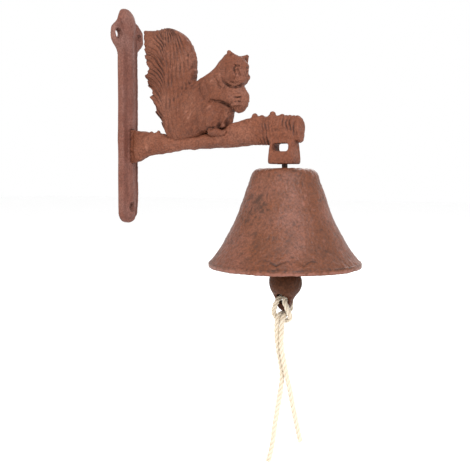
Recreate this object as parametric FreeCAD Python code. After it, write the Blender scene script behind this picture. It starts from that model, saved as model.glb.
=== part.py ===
"""Wall mounted bell on a branch bracket with a seated squirrel.

The wall is the plane x = 0, +X points away from it along the branch and +Z is up. The origin lies on
the wall plane, midway between the two upper screw holes. All sizes are in millimetres.
"""
import FreeCAD
import Part
import math
import os

# Wall plate
EAR_HOLE_SPACING = 24.6
SCREW_HOLE_D = 5.0
EAR_THICKNESS = 4.8
EAR_TOP = 21.5
EAR_TOP_RADIUS = 11.3
EAR_RADIUS = 8.5
EAR_CENTRE_Y = 9.2
STRIP_WIDTH = 18.6
STRIP_FLANGE = 3.2
RIB_WIDTH = 13.0
RIB_HEIGHT = 7.1
STRIP_BOTTOM = -145.2
BOTTOM_HOLE_Z = -132.9

# Branch: stations of x, middle height, half height, half thickness
BRANCH_STATIONS = [
    (7.1, -85.0, 12.4, 4.2),
    (16.5, -85.0, 12.6, 4.6),
    (27.0, -84.2, 9.6, 5.0),
    (45.0, -84.6, 6.9, 5.2),
    (68.0, -84.8, 5.9, 5.4),
    (90.0, -82.0, 7.4, 5.8),
    (105.0, -78.6, 9.4, 6.0),
    (125.0, -77.2, 10.2, 6.0),
    (150.5, -76.3, 9.7, 6.0),
]
BRANCH_END = 151.7
SEAT_DEPTH = 0.9
TENON_WIDTH = 6.0
TENON_HEIGHT = 15.0
THORNS = [(24.5, -75.4), (31.5, -76.0), (116.5, -68.4), (129.5, -68.0), (138.0, -69.4)]
THORN_RADIUS = 3.1

# Bell
BELL_X = 138.5
RIM_Z = -171.1
RIM_RADIUS = 52.5
BELL_HEIGHT = 67.3
CROWN_THICKNESS = 4.2
BELL_WALL = 3.4
# the wall's outside, as (radius, height above the rim), from the lip to the shoulder
BELL_WALL_POINTS = [(52.3, 2.8), (47.9, 7.8), (39.9, 20.2), (33.6, 32.5), (28.9, 45.2), (24.3, 57.8)]
SHOULDER = (19.0, 66.6)

# Lug under the branch, with its window and the seat of the hanger rod's head
LUG_BOTTOM = -100.8
LUG_TOP = -83.0
LUG_FOOT = (18.2, 15.2)
LUG_NECK = (17.0, 10.0)
WINDOW_WIDTH = 12.0
WINDOW_BOTTOM = -92.1
WINDOW_TOP = -86.6

# Hanger rod
ROD_R = 2.0
HEAD_R = 3.4
HEAD_Z = -95.5
SEAT_CLEARANCE = 0.1
SEAT_BORE_TOP_R = 2.3
SEAT_BORE_BOTTOM_R = 2.7
BELL_BORE_R = ROD_R + 0.1
WASHER_R = 6.5
WASHER_THICKNESS = 1.2
COLLAR_R = 4.0
COLLAR_HEIGHT = 2.4
FACE_GAP = 0.05
EYE_R = 4.5
EYE_Z = -116.0

# Clapper, its link and its cord
LINK_R = 6.0
LINK_WIRE_R = 1.1
HOOK_GAP = 0.15
CLAPPER_EYE_R = 4.2
CLAPPER_WIRE_R = 1.8
BALL_R = 11.35
BALL_Z = RIM_Z - 11.0
CORD_EYE_Z = RIM_Z - 21.9
CORD_EYE_R = 4.0
TONGUE_TIP = -8.6
TONGUE_THICKNESS = 6.4
CORD_D = 3.6

LINK_PIVOT_Z = EYE_Z - (EYE_R - ROD_R - LINK_WIRE_R - HOOK_GAP)
CLAPPER_PIVOT_Z = LINK_PIVOT_Z - 2 * LINK_R + LINK_WIRE_R + CLAPPER_WIRE_R + HOOK_GAP

# Half of the cord's cow hitch, from the middle of its bight to where the tail hangs clear. The
# points are (x, y, z) from the middle of the clapper's eye; sign says which half, -1 or 1.
def hitch_route(sign):
    return [
        (0, -1.2, -15.2),
        (3.0 * sign, -1.2, -15.2),
        (6.0 * sign, -2.7, -12.9),
        (5.9 * sign, -5.6, -8.4),
        (1.95 * sign, -6.3, 0.6),
        (1.95 * sign, 6.1, 0.6),
        (1.95 * sign, 5.8, -11.1),
    ]


LEFT_TAIL = [
    (-1.95, -6.3, -10.8),
    (-2.9, -6.6, -21.6),
    (-2.7, -5.4, -31.9),
    (-1.2, -3.9, -42.2),
    (-0.2, -2.9, -52.5),
    (-1.1, -3.1, -62.7),
    (-3.5, -3.8, -76.5),
    (-5.5, -4.4, -90.2),
    (-7.0, -4.9, -103.9),
    (-9.4, -5.9, -113.5),
]
RIGHT_TAIL = [
    (1.95, -6.3, -10.8),
    (1.2, -7.0, -21.6),
    (1.1, -7.3, -31.9),
    (2.4, -6.2, -42.2),
    (3.9, -4.6, -52.5),
    (5.4, -2.3, -62.7),
    (7.1, -0.1, -76.5),
    (9.1, 2.0, -90.2),
    (10.7, 3.4, -99.1),
]

# Squirrel: the tail's outline in the xz plane, and the lumps of its body as (middle, half sizes)
TAIL_OUTLINE = [
    (37, -76), (31, -60), (25.5, -48), (21.5, -34), (20, -20), (20, -6), (22, 1.8), (32, 1.4), (42, 2.2),
    (51, -0.8), (59, -6.5), (65, -16), (66.5, -27), (67, -40), (72, -54), (72, -72), (58, -82), (45, -81),
]
TAIL_THICKNESS = 11.0
SQUIRREL_BODY = [
    ((80.0, 0, -64.0), (15.0, 10.0, 16.0)),
    ((86.5, 0, -46.0), (12.0, 9.0, 19.0)),
    ((101.0, 0, -34.0), (9.8, 8.6, 11.2)),
    ((104.5, -2, -56.0), (6.0, 6.0, 6.6)),
    ((96.0, -6, -50.5), (10.0, 4.0, 5.0)),
    ((84.5, 0, -76.0), (10.0, 9.5, 6.0)),
    ((94.8, -4.5, -24.0), (2.6, 2.2, 5.4)),
    ((106.5, 4.5, -25.5), (2.8, 2.2, 4.6)),
]
SEAT_Z = -80.0
PEG_R = 3.0
PEG_DEPTH = 5.0
PEG_PLACES = [52.0, 82.0]


def vec(x, y, z):
    return FreeCAD.Vector(x, y, z)


def along_x(radius, start, end, y, z):
    return Part.makeCylinder(radius, end - start, vec(start, y, z), vec(1, 0, 0))


def block(x0, x1, y0, y1, z0, z1):
    return Part.makeBox(x1 - x0, y1 - y0, z1 - z0, vec(x0, y0, z0))


def wire_loop(mean_r, wire_r, centre, axis):
    return Part.makeTorus(mean_r, wire_r, centre, axis)


def one_solid(shape):
    solids = shape.Solids
    if len(solids) != 1:
        raise ValueError("expected one solid, found %d" % len(solids))
    return solids[0]


def fused(shapes):
    total = shapes[0]
    for shape in shapes[1:]:
        total = total.fuse(shape)
    return one_solid(total)


def cut_away(shape, tools):
    for tool in tools:
        shape = shape.cut(tool)
    return one_solid(shape)


# ---------------------------------------------------------------- wall plate


def make_wall_plate():
    apex = along_x(EAR_TOP_RADIUS, 0, EAR_THICKNESS, 0, EAR_TOP - EAR_TOP_RADIUS)
    ears = [along_x(EAR_RADIUS, 0, EAR_THICKNESS, side * EAR_CENTRE_Y, 0.5) for side in (-1, 1)]
    half = STRIP_WIDTH / 2
    strip = block(0, STRIP_FLANGE, -half, half, STRIP_BOTTOM + half, 0)
    foot = along_x(half, 0, STRIP_FLANGE, 0, STRIP_BOTTOM + half)
    rib_r = (RIB_HEIGHT ** 2 + (RIB_WIDTH / 2) ** 2) / (2 * RIB_HEIGHT)
    rib_bottom = STRIP_BOTTOM + half
    rib = Part.makeCylinder(rib_r, 12 - rib_bottom, vec(RIB_HEIGHT - rib_r, 0, rib_bottom), vec(0, 0, 1))
    rib_end = Part.makeSphere(rib_r, vec(RIB_HEIGHT - rib_r, 0, rib_bottom))
    front = block(0, RIB_HEIGHT + 1, -half, half, STRIP_BOTTOM, 12)
    rib = fused([rib, rib_end]).common(front)
    plate = fused([apex, strip, foot, rib] + ears)
    holes = [along_x(SCREW_HOLE_D / 2, -1, 12, side * EAR_HOLE_SPACING / 2, 0) for side in (-1, 1)]
    holes.append(along_x(SCREW_HOLE_D / 2, -1, 12, 0, BOTTOM_HOLE_Z))
    slot = tenon(-1, RIB_HEIGHT + 1)
    return cut_away(plate, holes + [slot, branch_root_space()])


def tenon(start, end):
    """The branch's rectangular tenon, which goes through the plate and is spread flush at the back."""
    half_y = TENON_WIDTH / 2
    half_z = TENON_HEIGHT / 2
    middle = BRANCH_STATIONS[0][1]
    return block(start, end, -half_y, half_y, middle - half_z, middle + half_z)


def branch_root_space():
    """A flat seat across the rib where the branch's root butts against the plate."""
    root = BRANCH_STATIONS[0]
    reach = root[2] + 0.3
    return block(root[0] - SEAT_DEPTH, RIB_HEIGHT + 1, -9, 9, root[1] - reach, root[1] + reach)


# ---------------------------------------------------------------- branch


def oval(x, middle, half_height, half_thickness):
    centre = vec(x, 0, middle)
    top = vec(x, 0, middle + half_height)
    side = vec(x, half_thickness, middle)
    return Part.Wire(Part.Ellipse(top, side, centre).toShape())


def lug_section(z, size):
    half_x, half_y = size[0] / 2, size[1] / 2
    corners = [vec(BELL_X + sx * half_x, sy * half_y, z) for sx, sy in ((-1, -1), (1, -1), (1, 1), (-1, 1))]
    return Part.makePolygon(corners + corners[:1])


def make_lug():
    body = Part.makeLoft([lug_section(LUG_BOTTOM, LUG_FOOT), lug_section(LUG_TOP, LUG_NECK)], True)
    return body.makeFillet(1.6, [e for e in body.Edges if abs(e.Vertexes[0].Z - e.Vertexes[-1].Z) > 5])


def lug_openings():
    """The window along Y, and the cup and bore that hold the hanger rod's ball head."""
    half = WINDOW_WIDTH / 2
    window = block(BELL_X - half, BELL_X + half, -20, 20, WINDOW_BOTTOM, WINDOW_TOP)
    window = window.makeFillet(2.0, [e for e in window.Edges if abs(e.CenterOfMass.y) < 1])
    seat_r = HEAD_R + SEAT_CLEARANCE
    cup = Part.makeSphere(seat_r, vec(BELL_X, 0, HEAD_Z))
    mouth = Part.makeCylinder(seat_r, WINDOW_BOTTOM + 1 - HEAD_Z, vec(BELL_X, 0, HEAD_Z))
    depth = HEAD_Z - LUG_BOTTOM
    bore = Part.makeCone(SEAT_BORE_BOTTOM_R, SEAT_BORE_TOP_R, depth, vec(BELL_X, 0, LUG_BOTTOM))
    under = Part.makeCylinder(SEAT_BORE_BOTTOM_R, 2, vec(BELL_X, 0, LUG_BOTTOM - 2))
    return [window, cup, mouth, bore, under]


def make_branch():
    stations = [(RIB_HEIGHT - SEAT_DEPTH,) + BRANCH_STATIONS[0][1:]] + BRANCH_STATIONS[1:]
    stations.append((BRANCH_END,) + BRANCH_STATIONS[-1][1:])
    limb = Part.makeLoft([oval(*s) for s in stations], True)
    thorns = [Part.makeSphere(THORN_RADIUS, vec(x, 0, z)) for x, z in THORNS]
    limb = fused([limb, make_lug(), tenon(0, RIB_HEIGHT + 4)] + thorns)
    return cut_away(limb, lug_openings())


# ---------------------------------------------------------------- squirrel


def lump(middle, half_sizes):
    """A pebble: an ellipse in the xz plane, as thick along Y as its size says, with rounded rims."""
    x, y, z = middle
    half_x, half_y, half_z = half_sizes
    centre = vec(x, y - half_y, z)
    tips = [centre + vec(half_x, 0, 0), centre + vec(0, 0, half_z)]
    if half_z > half_x:
        tips.reverse()
    face = Part.Face(Part.Wire(Part.Ellipse(tips[0], tips[1], centre).toShape()))
    slab = face.extrude(vec(0, 2 * half_y, 0))
    rims = [e for e in slab.Edges if abs(e.CenterOfMass.y - y) > 0.9 * half_y]
    return slab.makeFillet(0.5 * min(half_sizes), rims)


def make_tail():
    half = TAIL_THICKNESS / 2
    curve = Part.BSplineCurve()
    curve.interpolate([vec(x, -half, z) for x, z in TAIL_OUTLINE], PeriodicFlag=True)
    face = Part.Face(Part.Wire(curve.toShape()))
    return face.extrude(vec(0, TAIL_THICKNESS, 0))


def pegs():
    """Two round pegs under the squirrel, which locate it in blind holes in the branch."""
    return [Part.makeCylinder(PEG_R, PEG_DEPTH + 8, vec(x, 0, SEAT_Z - PEG_DEPTH)) for x in PEG_PLACES]


def make_squirrel(drilled_branch):
    lumps = [lump(middle, sizes) for middle, sizes in SQUIRREL_BODY]
    figure = fused([make_tail()] + lumps + pegs())
    below = block(0, 120, -20, 20, -110, SEAT_Z - PEG_DEPTH)
    return cut_away(figure, [drilled_branch, below])


# ---------------------------------------------------------------- bell


def bell_profile():
    """The bell's half section, as a closed face in the plane through its axis."""
    inset = BELL_WALL
    outer_points = [vec(r, 0, z) for r, z in BELL_WALL_POINTS + [SHOULDER]]
    outer = Part.BSplineCurve()
    outer.interpolate(outer_points)
    inner_top = BELL_HEIGHT - CROWN_THICKNESS
    inner_points = [vec(RIM_RADIUS - inset, 0, 0), vec(RIM_RADIUS - inset - 0.6, 0, 2.0)]
    inner_points += [vec(r - inset * 0.97, 0, z - inset * 0.25) for r, z in BELL_WALL_POINTS[1:]]
    inner_points.append(vec(SHOULDER[0] - 4.0, 0, inner_top))
    inner = Part.BSplineCurve()
    inner.interpolate(inner_points)
    lip_foot = vec(RIM_RADIUS, 0, 0)
    crown_edge = vec(12.0, 0, BELL_HEIGHT)
    crown_top = vec(BELL_BORE_R, 0, BELL_HEIGHT)
    crown_under = vec(BELL_BORE_R, 0, inner_top)
    corners = [inner_points[0], lip_foot, outer_points[0]]
    edges = [Part.LineSegment(a, b).toShape() for a, b in zip(corners, corners[1:])]
    edges.append(outer.toShape())
    dome = Part.Arc(outer_points[-1], vec(15.8, 0, BELL_HEIGHT - 0.25), crown_edge)
    edges.append(dome.toShape())
    edges.append(Part.LineSegment(crown_edge, crown_top).toShape())
    edges.append(Part.LineSegment(crown_top, crown_under).toShape())
    edges.append(Part.LineSegment(crown_under, inner_points[-1]).toShape())
    edges.append(inner.toShape())
    return Part.Face(Part.Wire(Part.__sortEdges__(edges)))


def make_bell():
    bell = bell_profile().revolve(vec(0, 0, 0), vec(0, 0, 1), 360)
    bell.translate(vec(BELL_X, 0, RIM_Z))
    return one_solid(bell)


# ---------------------------------------------------------------- hanger and link


def crown_underside():
    return RIM_Z + BELL_HEIGHT - CROWN_THICKNESS


def make_hanger_rod():
    head = Part.makeSphere(HEAD_R, vec(BELL_X, 0, HEAD_Z))
    head = head.common(block(BELL_X - 9, BELL_X + 9, -9, 9, HEAD_Z - 9, WINDOW_BOTTOM - 0.3))
    eye_top = EYE_Z + EYE_R
    shank = Part.makeCylinder(ROD_R, HEAD_Z - eye_top, vec(BELL_X, 0, eye_top))
    collar_top = crown_underside() - WASHER_THICKNESS - FACE_GAP
    collar = Part.makeCylinder(COLLAR_R, COLLAR_HEIGHT, vec(BELL_X, 0, collar_top - COLLAR_HEIGHT))
    eye = wire_loop(EYE_R, ROD_R, vec(BELL_X, 0, EYE_Z), vec(0, 1, 0))
    return fused([head, shank, collar, eye])


def make_crown_washer():
    low = vec(BELL_X, 0, crown_underside() - WASHER_THICKNESS - FACE_GAP)
    disc = Part.makeCylinder(WASHER_R, WASHER_THICKNESS, low)
    return one_solid(disc.cut(Part.makeCylinder(ROD_R, WASHER_THICKNESS, low)))


def make_clapper_link():
    return wire_loop(LINK_R, LINK_WIRE_R, vec(BELL_X, 0, LINK_PIVOT_Z - LINK_R), vec(1, 0, 0))


# ---------------------------------------------------------------- clapper


def make_tongue():
    """The flat tongue below the ball, with the eye that the cord is hitched through."""
    half = TONGUE_THICKNESS / 2
    tip = CORD_EYE_Z + TONGUE_TIP
    half_outline = [(9.5, CORD_EYE_Z + 7.0), (6.9, CORD_EYE_Z + 1.0), (4.7, tip + 3.2)]
    right = [vec(BELL_X + x, -half, z) for x, z in half_outline]
    left = [vec(BELL_X - x, -half, z) for x, z in reversed(half_outline)]
    point = Part.Arc(right[-1], vec(BELL_X, -half, tip), left[0]).toShape()
    sides = [Part.LineSegment(a, b).toShape() for a, b in zip(right, right[1:])]
    sides += [point] + [Part.LineSegment(a, b).toShape() for a, b in zip(left, left[1:])]
    sides.append(Part.LineSegment(left[-1], right[0]).toShape())
    blank = Part.Face(Part.Wire(Part.__sortEdges__(sides))).extrude(vec(0, TONGUE_THICKNESS, 0))
    rim = [e for e in blank.Edges if e.CenterOfMass.z < tip + 4 and abs(e.CenterOfMass.y) > half - 0.1]
    return blank.makeFillet(1.4, rim)


def make_clapper():
    ball = Part.makeSphere(BALL_R, vec(BELL_X, 0, BALL_Z))
    eye_centre = CLAPPER_PIVOT_Z - CLAPPER_EYE_R
    eye = wire_loop(CLAPPER_EYE_R, CLAPPER_WIRE_R, vec(BELL_X, 0, eye_centre), vec(0, 1, 0))
    stem_top = eye_centre - CLAPPER_EYE_R
    stem = Part.makeCone(4.2, 2.2, stem_top - BALL_Z, vec(BELL_X, 0, BALL_Z))
    hole = Part.makeCylinder(CORD_EYE_R, 40, vec(BELL_X, -20, CORD_EYE_Z), vec(0, 1, 0))
    return one_solid(fused([ball, eye, stem, make_tongue()]).cut(hole))


# ---------------------------------------------------------------- cord


def tube(points, diameter, label):
    """A tube along straight runs joined by tangent arcs, each as large as its two runs allow."""
    edges = []
    radii = []
    start = points[0]
    for before, corner, after in zip(points, points[1:], points[2:]):
        back = (before - corner).normalize()
        ahead = (after - corner).normalize()
        half_turn = (math.pi - back.getAngle(ahead)) / 2
        reach = 0.45 * min((before - corner).Length, (after - corner).Length)
        radius = reach / math.tan(half_turn)
        radii.append(round(radius, 1))
        first = corner + back * reach
        last = corner + ahead * reach
        inward = (back + ahead).normalize()
        middle = corner + inward * (radius / math.cos(half_turn) - radius)
        edges.append(Part.LineSegment(start, first).toShape())
        edges.append(Part.Arc(first, middle, last).toShape())
        start = last
    edges.append(Part.LineSegment(start, points[-1]).toShape())
    path = Part.Wire(edges)
    section = Part.Wire(Part.Circle(points[0], points[1] - points[0], diameter / 2).toShape())
    solid = path.makePipeShell([section], True, False)
    share = solid.Volume / (math.pi * diameter ** 2 / 4 * path.Length)
    print("%s: length %.1f, volume over section times length %.4f, radii %s" % (label, path.Length, share, radii))
    return solid


def make_cord(sign, tail, label):
    eye = vec(BELL_X, 0, CORD_EYE_Z)
    route = [eye + vec(*p) for p in hitch_route(sign) + tail]
    return tube(route, CORD_D, label)


def main():
    os.makedirs("parts", exist_ok=True)
    branch = cut_away(make_branch(), pegs())
    parts = {
        "wall_plate": make_wall_plate(),
        "branch": branch,
        "squirrel": make_squirrel(branch),
        "hanger_rod": make_hanger_rod(),
        "crown_washer": make_crown_washer(),
        "bell": make_bell(),
        "clapper_link": make_clapper_link(),
        "clapper": make_clapper(),
        "cord_left": make_cord(-1, LEFT_TAIL, "cord_left"),
        "cord_right": make_cord(1, RIGHT_TAIL, "cord_right"),
    }
    for name, shape in parts.items():
        if not shape.isValid() or shape.Volume <= 0:
            raise ValueError(name + " isn't a valid solid")
        shape.exportStep("parts/%s.step" % name)
        box = shape.BoundBox
        size = (box.XMin, box.XMax, box.YMin, box.YMax, box.ZMin, box.ZMax)
        print(name, round(shape.Volume), [round(v, 1) for v in size])


main()
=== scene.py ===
"""Looks of the wall mounted bell: a cast iron bell on a branch bracket with a seated squirrel.

Shapes are worked out in millimetres in the CAD's own frame, and become metres when a mesh is made:
x = 0 is the wall, +X runs along the branch away from it, and +Z is up. A cast piece is a field, a
function that is negative inside the metal and grows by about 1 per millimetre outside it.
"""
import bpy
import math
import numpy as np
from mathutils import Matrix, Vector


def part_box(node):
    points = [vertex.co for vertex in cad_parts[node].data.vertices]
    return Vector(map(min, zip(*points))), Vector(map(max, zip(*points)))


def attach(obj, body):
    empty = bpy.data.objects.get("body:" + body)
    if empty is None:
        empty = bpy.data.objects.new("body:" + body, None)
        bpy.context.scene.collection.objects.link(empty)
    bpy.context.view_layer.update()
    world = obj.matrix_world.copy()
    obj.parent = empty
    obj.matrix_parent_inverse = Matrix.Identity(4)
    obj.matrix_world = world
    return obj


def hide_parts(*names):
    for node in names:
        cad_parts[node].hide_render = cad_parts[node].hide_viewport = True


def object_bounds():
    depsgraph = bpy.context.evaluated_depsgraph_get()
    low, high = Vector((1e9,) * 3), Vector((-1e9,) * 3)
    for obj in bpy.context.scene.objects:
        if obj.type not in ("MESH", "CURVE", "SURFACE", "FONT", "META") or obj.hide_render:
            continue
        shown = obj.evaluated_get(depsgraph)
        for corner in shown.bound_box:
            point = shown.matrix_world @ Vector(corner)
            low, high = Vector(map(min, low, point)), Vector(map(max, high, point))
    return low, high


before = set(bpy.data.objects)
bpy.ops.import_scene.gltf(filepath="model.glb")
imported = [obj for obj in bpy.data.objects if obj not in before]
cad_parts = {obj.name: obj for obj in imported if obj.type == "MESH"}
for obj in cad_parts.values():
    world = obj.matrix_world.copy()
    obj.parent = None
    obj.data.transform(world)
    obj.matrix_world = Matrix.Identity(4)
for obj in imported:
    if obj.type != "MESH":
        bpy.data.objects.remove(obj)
cad_box = [list(corner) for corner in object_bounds()]

MM = 0.001
TINY = 1e-4


def node_box(name):
    """A CAD node's lowest and highest corner, in millimetres."""
    low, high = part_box(name)
    return np.array(low) / MM, np.array(high) / MM


BELL_LOW, BELL_HIGH = node_box("bell")
BELL_X = (BELL_LOW[0] + BELL_HIGH[0]) / 2
RIM_Z = BELL_LOW[2]
RIM_RADIUS = (BELL_HIGH[0] - BELL_LOW[0]) / 2
CROWN_Z = BELL_HIGH[2]
PLATE_LOW, PLATE_HIGH = node_box("wall_plate")
BRANCH_START, BRANCH_END = (corner[0] for corner in node_box("branch"))
ROD_TOP = node_box("hanger_rod")[1][2]


def f32(values):
    return np.asarray(values, dtype=np.float32)


def grid_of(*axes):
    """Every combination of the axes' values, one to a row."""
    return np.stack(np.meshgrid(*axes, indexing="ij"), axis=-1).reshape(-1, len(axes))


# ------------ noise

CUBE_CORNERS = grid_of(*[np.arange(2)] * 3)
SEED = 11
LATTICE_SIZE = 32
LATTICE = np.random.default_rng(SEED).uniform(-1, 1, (LATTICE_SIZE,) * 3).astype(np.float32)


def noise(p, wavelength, shift=0.0):
    """Smooth noise between -1 and 1. The wavelength is one number, or one along each axis."""
    q = p / f32(wavelength) + shift
    base = np.floor(q).astype(np.int32)
    t = (q - base).astype(np.float32)
    t = t * t * (3 - 2 * t)
    total = 0
    for corner in CUBE_CORNERS:
        weight = np.where(corner, t, 1 - t)
        value = LATTICE[tuple(((base + corner) % LATTICE_SIZE).T)]
        total = total + weight[:, 0] * weight[:, 1] * weight[:, 2] * value
    return total


def cast_skin(p, depth=0.1):
    """The uneven skin that sand casting and rust leave."""
    return depth * (noise(p, 2.6, 3.1) + 0.7 * noise(p, 1.2, 7.7))


# ------------ fields


def smooth_min(a, b, k):
    """Both lumps, with the crease between them filled over a width of about k."""
    h = np.maximum(k - np.abs(a - b), 0) / k
    return np.minimum(a, b) - h * h * k / 4


def smooth_max(a, b, k):
    """What both lumps share, with the edge between them rounded over a width of about k."""
    return -smooth_min(-a, -b, k)


def joined(field, *lumps):
    """The field with lumps added in turn, each as (lump, width of the blend)."""
    for lump, blend in lumps:
        field = smooth_min(field, lump, blend)
    return field


def rounded_meet(a, b, rounding):
    """Where two flat-sided fields overlap, with the edge between them rounded."""
    q = np.stack([a + rounding, b + rounding], axis=1)
    return np.linalg.norm(np.maximum(q, 0), axis=1) + np.minimum(q.max(axis=1), 0) - rounding


def oval_distance(k0, k1):
    """About the distance to an oval, from the lengths of p / radii and of p / radii squared."""
    return k0 * (k0 - 1) / np.maximum(k1, TINY)


def bell_curve(value, width):
    """1 where the value is 0, falling to 0 on both sides over about the width."""
    return np.exp(-(value / width) ** 2)


def step(value, start, end):
    """0 before start, 1 after end and smooth between; start may be the larger."""
    t = np.clip((value - start) / (end - start), 0, 1)
    return t * t * (3 - 2 * t)


def turned(p, centre, degrees):
    """p from a centre, turned in the xz plane so that a lump's long axis lies along x."""
    a = math.radians(degrees)
    q = p - f32(centre)
    x = q[:, 0] * math.cos(a) + q[:, 2] * math.sin(a)
    z = -q[:, 0] * math.sin(a) + q[:, 2] * math.cos(a)
    return np.stack([x, q[:, 1], z], axis=1)


def ellipsoid(p, centre, radii, degrees=0):
    """An egg with three radii, turned in the xz plane."""
    q = turned(p, centre, degrees)
    r = f32(radii)
    return oval_distance(np.linalg.norm(q / r, axis=1), np.linalg.norm(q / (r * r), axis=1))


def capsule(p, a, b, ra, rb):
    """A round bar from a to b whose radius goes from ra to rb."""
    a = f32(a)
    b = f32(b)
    along = b - a
    t = np.clip((p - a) @ along / (along @ along), 0, 1)
    return np.linalg.norm(p - a - t[:, None] * along, axis=1) - (ra + (rb - ra) * t)


def ball(p, centre, radius):
    return np.linalg.norm(p - f32(centre), axis=1) - radius


def torus(p, centre, mean_r, wire_r, axis):
    """A ring of round wire about a line along one axis."""
    q = p - f32(centre)
    plane = [i for i in range(3) if i != axis]
    ring = np.hypot(q[:, plane[0]], q[:, plane[1]]) - mean_r
    return np.hypot(ring, q[:, axis]) - wire_r


def block(p, low, high, rounding=0.0):
    """A box between two corners, with its edges rounded."""
    low = f32(low)
    high = f32(high)
    q = np.abs(p - (low + high) / 2) - (high - low) / 2 + rounding
    return np.linalg.norm(np.maximum(q, 0), axis=1) + np.minimum(q.max(axis=1), 0) - rounding


def spline_points(points, closed, steps=10):
    """A Catmull-Rom curve through the points."""
    pts = np.asarray(points, dtype=float)
    n = len(pts)
    out = []
    for i in range(n if closed else n - 1):
        if closed:
            p0, p1, p2, p3 = (pts[(i + k) % n] for k in (-1, 0, 1, 2))
        else:
            p0, p1, p2, p3 = (pts[min(max(i + k, 0), n - 1)] for k in (-1, 0, 1, 2))
        for t in np.arange(steps) / steps:
            out.append(0.5 * (2 * p1 + (p2 - p0) * t + (2 * p0 - 5 * p1 + 4 * p2 - p3) * t ** 2
                              + (3 * p1 - p0 - 3 * p2 + p3) * t ** 3))
    if not closed:
        out.append(pts[-1])
    return np.array(out)


class Outline:
    """The signed distance to a closed smooth outline in a plane, negative inside."""

    def __init__(self, points, steps=8, cell=0.3, margin=8.0):
        self.loop = spline_points(points, True, steps)
        self.cell = cell
        self.low = self.loop.min(axis=0) - margin
        size = np.ceil((self.loop.max(axis=0) + margin - self.low) / cell).astype(int) + 2
        u = self.low[0] + np.arange(size[0]) * cell
        v = self.low[1] + np.arange(size[1]) * cell
        grid = grid_of(u, v)
        best = np.full(len(grid), 1e9)
        inside = np.zeros(len(grid), dtype=bool)
        for a, b in zip(self.loop, np.roll(self.loop, -1, axis=0)):
            edge = b - a
            q = grid - a
            t = np.clip(q @ edge / (edge @ edge + 1e-12), 0, 1)
            best = np.minimum(best, ((q - t[:, None] * edge) ** 2).sum(axis=1))
            spans = (a[1] > grid[:, 1]) != (b[1] > grid[:, 1])
            if spans.any():
                cross = a[0] + (grid[:, 1] - a[1]) / (edge[1] if edge[1] else 1e-12) * edge[0]
                inside ^= spans & (grid[:, 0] < cross)
        self.values = (np.sqrt(best) * np.where(inside, -1, 1)).reshape(size).astype(np.float32)

    def distance(self, u, v):
        size = np.array(self.values.shape)
        a = np.clip((u - self.low[0]) / self.cell, 0, size[0] - 1.001)
        b = np.clip((v - self.low[1]) / self.cell, 0, size[1] - 1.001)
        i, j = a.astype(int), b.astype(int)
        s, t = a - i, b - j
        w = self.values
        near = (w[i, j] * (1 - s) + w[i + 1, j] * s) * (1 - t)
        return near + (w[i, j + 1] * (1 - s) + w[i + 1, j + 1] * s) * t


# ------------ from a field to a mesh

CHUNK = 400000
BLOCK = 8
# a block this many times its own size away from the surface is left out
BLOCK_MARGIN = 1.5
GRADIENT_REACH = 0.06
# distances at which a hollow is felt for, in millimetres
HOLLOW_REACHES = (0.7, 1.8, 4.0)
NEWTON_STEPS = 2
LONGEST_STEP = 0.6
STEEPNESS_LIMITS = (0.3, 4)


def in_chunks(field, p):
    parts = [field(p[i:i + CHUNK]) for i in range(0, len(p), CHUNK)]
    return np.concatenate(parts).astype(np.float32)


def sample(field, low, high, cell):
    """The field on a grid of blocks, worked out point by point only in blocks near its surface."""
    low = f32(low)
    counts = np.ceil((np.asarray(high) - low) / cell / BLOCK).astype(int)
    index = grid_of(*[np.arange(n) for n in counts])
    centres = (low + (index * BLOCK + (BLOCK - 1) / 2) * cell).astype(np.float32)
    rough = in_chunks(field, centres)
    values = np.repeat(rough, BLOCK ** 3).reshape(-1, BLOCK, BLOCK, BLOCK)
    close = np.abs(rough) < BLOCK * cell * BLOCK_MARGIN
    local = grid_of(*[np.arange(BLOCK)] * 3)
    points = (low + (index[close][:, None] * BLOCK + local) * cell).astype(np.float32).reshape(-1, 3)
    values[close] = in_chunks(field, points).reshape(-1, BLOCK, BLOCK, BLOCK)
    grid = values.reshape(*counts, BLOCK, BLOCK, BLOCK).transpose(0, 3, 1, 4, 2, 5)
    return grid.reshape(counts * BLOCK), low


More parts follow.
